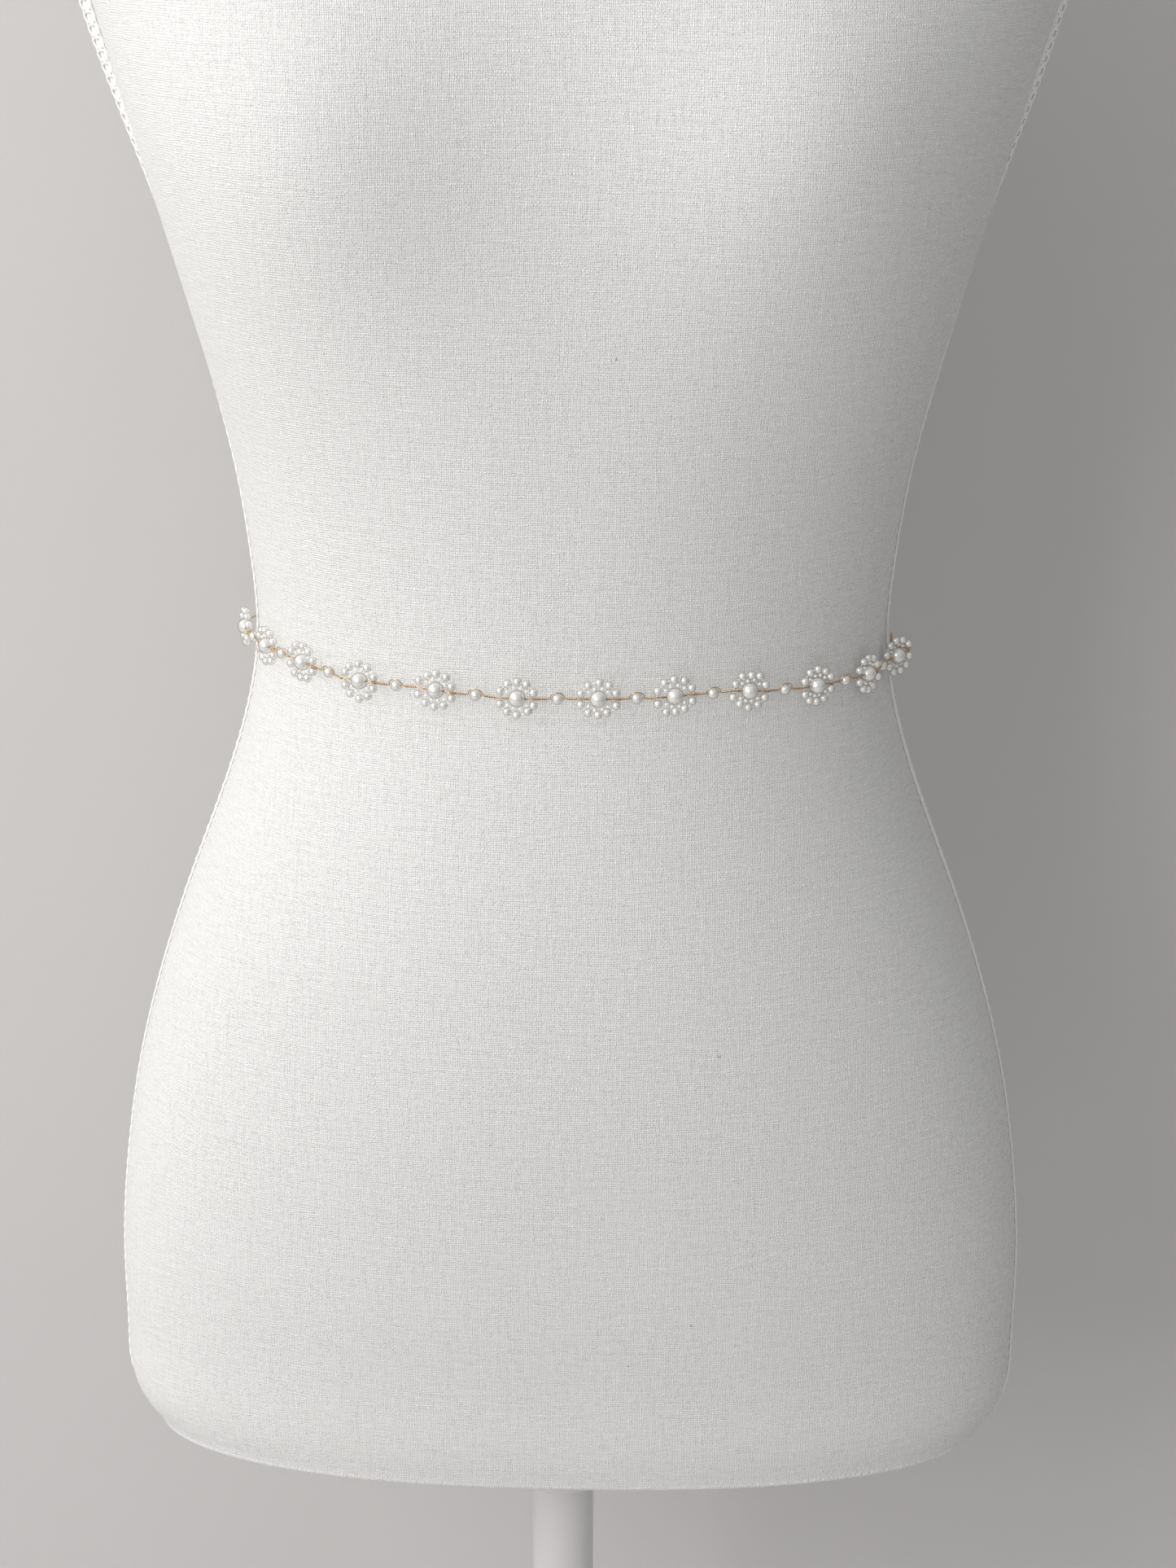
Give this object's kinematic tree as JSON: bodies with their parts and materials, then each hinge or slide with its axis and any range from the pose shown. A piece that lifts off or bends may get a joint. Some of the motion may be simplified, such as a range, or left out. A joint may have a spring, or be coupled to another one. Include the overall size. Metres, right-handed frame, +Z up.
{
  "type": "pearl flower bridal belt on a dress form",
  "caption": "Wired pearl-flower bridal belt with satin ribbon ties, worn at the waist of a limbless padded dress form on a pole and round base.",
  "frame": {"origin": "on the underside of the base, under the middle of the form", "axes": "+Z up, -Y out of the front of the form, +X to the viewer's right"},
  "size_m": [0.3814, 0.3, 1.1393],
  "materials": {
    "cover": "plain-woven white linen, matte",
    "braid": "white plaited cotton braid, matte",
    "pearl": "cream imitation pearl, soft gloss",
    "gold_wire": "pale gold jewellery wire, polished",
    "ribbon": "ivory satin ribbon, soft sheen",
    "white_metal": "white gloss enamel"
  },
  "bodies": {
    "root": {"form_torso": "cover", "braid_left": "braid", "braid_right": "braid", "neck_cap": "white_metal", "pole_socket": "white_metal", "pole": "white_metal", "base": "white_metal", "flower_01": "pearl", "flower_02": "pearl", "flower_03": "pearl", "flower_04": "pearl", "flower_05": "pearl", "flower_06": "pearl", "flower_07": "pearl", "flower_08": "pearl", "flower_09": "pearl", "flower_10": "pearl", "flower_11": "pearl", "flower_12": "pearl", "link_01": "pearl", "link_02": "pearl", "link_03": "pearl", "link_04": "pearl", "link_05": "pearl", "link_06": "pearl", "link_07": "pearl", "link_08": "pearl", "link_09": "pearl", "link_10": "pearl", "link_11": "pearl", "end_wire_left": "gold_wire", "end_wire_right": "gold_wire", "ribbon_left": "ribbon", "ribbon_right": "ribbon", "ribbon_knot": "ribbon", "ribbon_tail_left": "ribbon", "ribbon_tail_right": "ribbon"}
  },
  "joints": []
}
